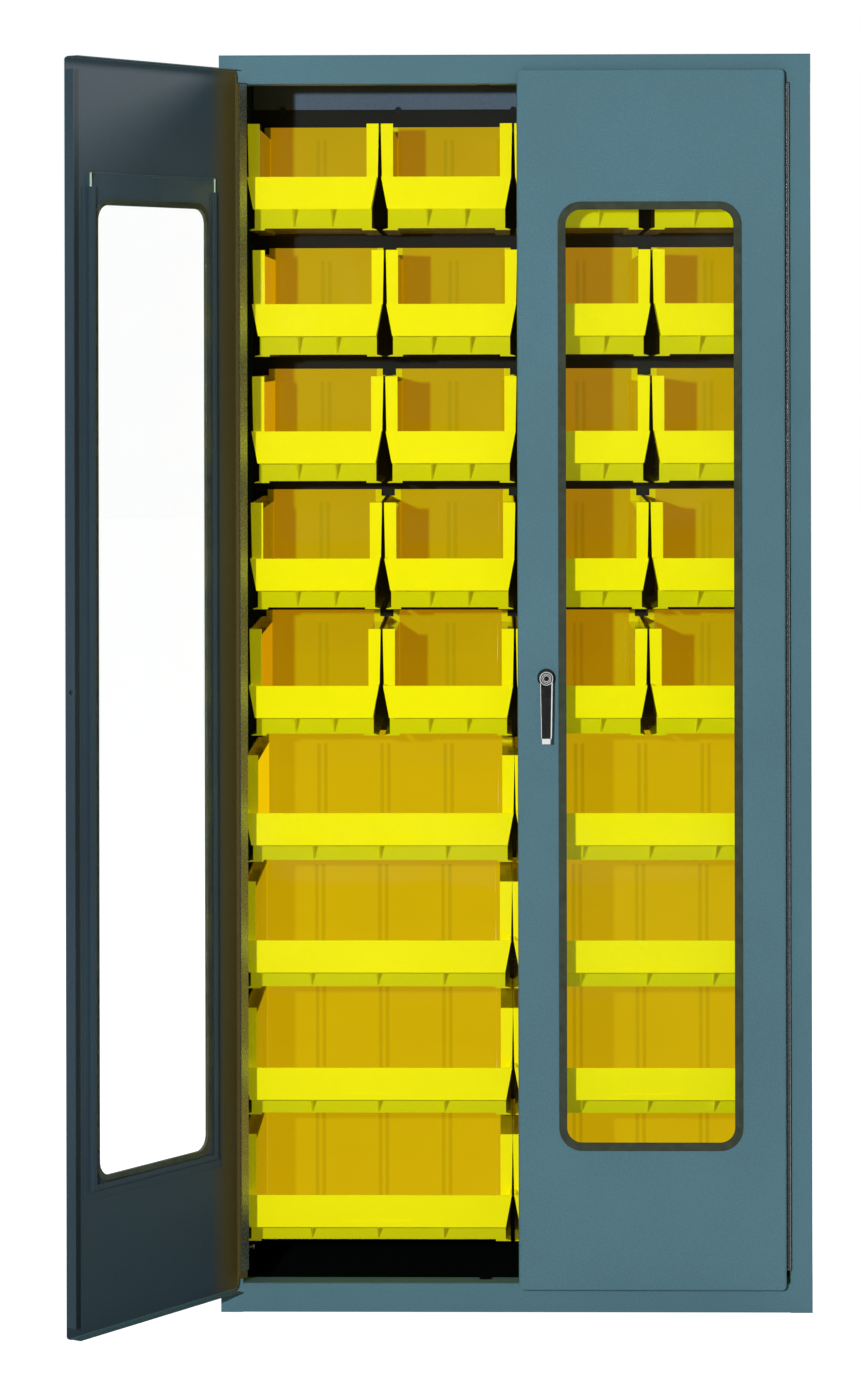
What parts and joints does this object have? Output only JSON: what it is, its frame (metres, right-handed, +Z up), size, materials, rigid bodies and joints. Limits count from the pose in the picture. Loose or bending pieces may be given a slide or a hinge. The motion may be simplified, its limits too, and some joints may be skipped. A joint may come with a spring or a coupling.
{
  "type": "parts bin cabinet",
  "caption": "Tall steel storage cabinet with two windowed hinged doors, a lever latch with lock rods, and rows of yellow hopper bins hung on a louvered back panel.",
  "frame": {"origin": "centre of the case's base on the floor", "axes": "+X towards the cabinet's right side as seen from the front, +Y to the back, +Z up"},
  "size_m": [1.1176, 0.8177, 1.945],
  "materials": {
    "case_paint": "satin grey-blue paint",
    "inner_paint": "satin grey-blue paint in shade",
    "door_paint": "satin grey-blue paint",
    "gasket": "dark matt rubber",
    "pane": "clear sheet with a pale green edge",
    "chrome": "polished chrome",
    "black_trim": "black",
    "plated_steel": "zinc plated",
    "bin_yellow": "moulded yellow plastic"
  },
  "bodies": {
    "case": {"back_panel": "inner_paint", "upper_back_strip": "inner_paint", "louver_panel": "inner_paint", "left_side_panel": "case_paint", "right_side_panel": "case_paint", "top_panel": "case_paint", "bottom_panel": "case_paint", "panel_screws": "black_trim", "jamb_pins": "plated_steel", "left_hinge_frame_leaf": "case_paint", "left_hinge_pin": "plated_steel", "right_hinge_frame_leaf": "case_paint", "right_hinge_pin": "plated_steel"},
    "left_door": {"left_door_pan": "door_paint", "left_pane_track": "door_paint", "left_pane": "pane", "left_gasket": "gasket", "left_hinge_door_leaf": "door_paint"},
    "right_door": {"right_door_pan": "door_paint", "right_pane_track": "door_paint", "right_pane": "pane", "right_gasket": "gasket", "right_hinge_door_leaf": "door_paint", "handle_ring": "black_trim", "handle_nut": "plated_steel", "rod_guides": "plated_steel"},
    "handle": {"lever": "chrome", "latch_cam": "plated_steel", "cam_nut": "plated_steel"},
    "key_plug": {"lock_plug": "chrome"},
    "upper_lock_rod": {"upper_rod": "plated_steel"},
    "lower_lock_rod": {"lower_rod": "plated_steel"},
    "small_bin_r1_c1_body": {"small_bin_r1_c1": "bin_yellow"},
    "small_bin_r1_c2_body": {"small_bin_r1_c2": "bin_yellow"},
    "small_bin_r1_c3_body": {"small_bin_r1_c3": "bin_yellow"},
    "small_bin_r1_c4_body": {"small_bin_r1_c4": "bin_yellow"},
    "small_bin_r2_c1_body": {"small_bin_r2_c1": "bin_yellow"},
    "small_bin_r2_c2_body": {"small_bin_r2_c2": "bin_yellow"},
    "small_bin_r2_c3_body": {"small_bin_r2_c3": "bin_yellow"},
    "small_bin_r2_c4_body": {"small_bin_r2_c4": "bin_yellow"},
    "small_bin_r3_c1_body": {"small_bin_r3_c1": "bin_yellow"},
    "small_bin_r3_c2_body": {"small_bin_r3_c2": "bin_yellow"},
    "small_bin_r3_c3_body": {"small_bin_r3_c3": "bin_yellow"},
    "small_bin_r3_c4_body": {"small_bin_r3_c4": "bin_yellow"},
    "small_bin_r4_c1_body": {"small_bin_r4_c1": "bin_yellow"},
    "small_bin_r4_c2_body": {"small_bin_r4_c2": "bin_yellow"},
    "small_bin_r4_c3_body": {"small_bin_r4_c3": "bin_yellow"},
    "small_bin_r4_c4_body": {"small_bin_r4_c4": "bin_yellow"},
    "small_bin_r5_c1_body": {"small_bin_r5_c1": "bin_yellow"},
    "small_bin_r5_c2_body": {"small_bin_r5_c2": "bin_yellow"},
    "small_bin_r5_c3_body": {"small_bin_r5_c3": "bin_yellow"},
    "small_bin_r5_c4_body": {"small_bin_r5_c4": "bin_yellow"},
    "wide_bin_r6_c1_body": {"wide_bin_r6_c1": "bin_yellow"},
    "wide_bin_r6_c2_body": {"wide_bin_r6_c2": "bin_yellow"},
    "wide_bin_r7_c1_body": {"wide_bin_r7_c1": "bin_yellow"},
    "wide_bin_r7_c2_body": {"wide_bin_r7_c2": "bin_yellow"},
    "wide_bin_r8_c1_body": {"wide_bin_r8_c1": "bin_yellow"},
    "wide_bin_r8_c2_body": {"wide_bin_r8_c2": "bin_yellow"},
    "wide_bin_r9_c1_body": {"wide_bin_r9_c1": "bin_yellow"},
    "wide_bin_r9_c2_body": {"wide_bin_r9_c2": "bin_yellow"}
  },
  "joints": [
    {"name": "left_door_hinge", "type": "hinge", "parent": "case", "child": "left_door", "pos_m": [-0.42, -0.2391, 0.9844], "axis": [0, 0, -1], "range_deg": [-124, 51]},
    {"name": "right_door_hinge", "type": "hinge", "parent": "case", "child": "right_door", "pos_m": [0.42, -0.2391, 0.9844], "axis": [0, 0, 1], "range_deg": [0, 175]},
    {"name": "handle_turn", "type": "hinge", "parent": "right_door", "child": "handle", "pos_m": [0.0475, -0.2496, 0.983], "axis": [0, -1, 0], "range_deg": [0, 90]},
    {"name": "key_turn", "type": "hinge", "parent": "handle", "child": "key_plug", "pos_m": [0.0475, -0.2636, 0.983], "axis": [0, -1, 0], "range_deg": [0, 90]},
    {"name": "upper_rod_slide", "type": "slide", "parent": "right_door", "child": "upper_lock_rod", "axis": [0, 0, 1], "range_m": [0, 0.0283]},
    {"name": "lower_rod_slide", "type": "slide", "parent": "right_door", "child": "lower_lock_rod", "axis": [0, 0, -1], "range_m": [0, 0.0283]},
    {"name": "small_bin_r1_c1_unhook", "type": "slide", "parent": "case", "child": "small_bin_r1_c1_body", "axis": [0, -0.53, 0.848], "range_m": [0, 0.014]},
    {"name": "small_bin_r1_c2_unhook", "type": "slide", "parent": "case", "child": "small_bin_r1_c2_body", "axis": [0, -0.53, 0.848], "range_m": [0, 0.014]},
    {"name": "small_bin_r1_c3_unhook", "type": "slide", "parent": "case", "child": "small_bin_r1_c3_body", "axis": [0, -0.53, 0.848], "range_m": [0, 0.014]},
    {"name": "small_bin_r1_c4_unhook", "type": "slide", "parent": "case", "child": "small_bin_r1_c4_body", "axis": [0, -0.53, 0.848], "range_m": [0, 0.014]},
    {"name": "small_bin_r2_c1_unhook", "type": "slide", "parent": "case", "child": "small_bin_r2_c1_body", "axis": [0, -0.53, 0.848], "range_m": [0, 0.014]},
    {"name": "small_bin_r2_c2_unhook", "type": "slide", "parent": "case", "child": "small_bin_r2_c2_body", "axis": [0, -0.53, 0.848], "range_m": [0, 0.014]},
    {"name": "small_bin_r2_c3_unhook", "type": "slide", "parent": "case", "child": "small_bin_r2_c3_body", "axis": [0, -0.53, 0.848], "range_m": [0, 0.014]},
    {"name": "small_bin_r2_c4_unhook", "type": "slide", "parent": "case", "child": "small_bin_r2_c4_body", "axis": [0, -0.53, 0.848], "range_m": [0, 0.014]},
    {"name": "small_bin_r3_c1_unhook", "type": "slide", "parent": "case", "child": "small_bin_r3_c1_body", "axis": [0, -0.53, 0.848], "range_m": [0, 0.014]},
    {"name": "small_bin_r3_c2_unhook", "type": "slide", "parent": "case", "child": "small_bin_r3_c2_body", "axis": [0, -0.53, 0.848], "range_m": [0, 0.014]},
    {"name": "small_bin_r3_c3_unhook", "type": "slide", "parent": "case", "child": "small_bin_r3_c3_body", "axis": [0, -0.53, 0.848], "range_m": [0, 0.014]},
    {"name": "small_bin_r3_c4_unhook", "type": "slide", "parent": "case", "child": "small_bin_r3_c4_body", "axis": [0, -0.53, 0.848], "range_m": [0, 0.014]},
    {"name": "small_bin_r4_c1_unhook", "type": "slide", "parent": "case", "child": "small_bin_r4_c1_body", "axis": [0, -0.53, 0.848], "range_m": [0, 0.014]},
    {"name": "small_bin_r4_c2_unhook", "type": "slide", "parent": "case", "child": "small_bin_r4_c2_body", "axis": [0, -0.53, 0.848], "range_m": [0, 0.014]},
    {"name": "small_bin_r4_c3_unhook", "type": "slide", "parent": "case", "child": "small_bin_r4_c3_body", "axis": [0, -0.53, 0.848], "range_m": [0, 0.014]},
    {"name": "small_bin_r4_c4_unhook", "type": "slide", "parent": "case", "child": "small_bin_r4_c4_body", "axis": [0, -0.53, 0.848], "range_m": [0, 0.014]},
    {"name": "small_bin_r5_c1_unhook", "type": "slide", "parent": "case", "child": "small_bin_r5_c1_body", "axis": [0, -0.53, 0.848], "range_m": [0, 0.014]},
    {"name": "small_bin_r5_c2_unhook", "type": "slide", "parent": "case", "child": "small_bin_r5_c2_body", "axis": [0, -0.53, 0.848], "range_m": [0, 0.014]},
    {"name": "small_bin_r5_c3_unhook", "type": "slide", "parent": "case", "child": "small_bin_r5_c3_body", "axis": [0, -0.53, 0.848], "range_m": [0, 0.014]},
    {"name": "small_bin_r5_c4_unhook", "type": "slide", "parent": "case", "child": "small_bin_r5_c4_body", "axis": [0, -0.53, 0.848], "range_m": [0, 0.014]},
    {"name": "wide_bin_r6_c1_unhook", "type": "slide", "parent": "case", "child": "wide_bin_r6_c1_body", "axis": [0, -0.53, 0.848], "range_m": [0, 0.014]},
    {"name": "wide_bin_r6_c2_unhook", "type": "slide", "parent": "case", "child": "wide_bin_r6_c2_body", "axis": [0, -0.53, 0.848], "range_m": [0, 0.014]},
    {"name": "wide_bin_r7_c1_unhook", "type": "slide", "parent": "case", "child": "wide_bin_r7_c1_body", "axis": [0, -0.53, 0.848], "range_m": [0, 0.014]},
    {"name": "wide_bin_r7_c2_unhook", "type": "slide", "parent": "case", "child": "wide_bin_r7_c2_body", "axis": [0, -0.53, 0.848], "range_m": [0, 0.014]},
    {"name": "wide_bin_r8_c1_unhook", "type": "slide", "parent": "case", "child": "wide_bin_r8_c1_body", "axis": [0, -0.53, 0.848], "range_m": [0, 0.014]},
    {"name": "wide_bin_r8_c2_unhook", "type": "slide", "parent": "case", "child": "wide_bin_r8_c2_body", "axis": [0, -0.53, 0.848], "range_m": [0, 0.014]},
    {"name": "wide_bin_r9_c1_unhook", "type": "slide", "parent": "case", "child": "wide_bin_r9_c1_body", "axis": [0, -0.53, 0.848], "range_m": [0, 0.014]},
    {"name": "wide_bin_r9_c2_unhook", "type": "slide", "parent": "case", "child": "wide_bin_r9_c2_body", "axis": [0, -0.53, 0.848], "range_m": [0, 0.014]}
  ],
  "couplings": [
    {"joint": "upper_rod_slide", "follows": "handle_turn", "m_per_rad": 0.018006},
    {"joint": "lower_rod_slide", "follows": "handle_turn", "m_per_rad": 0.018006}
  ]
}
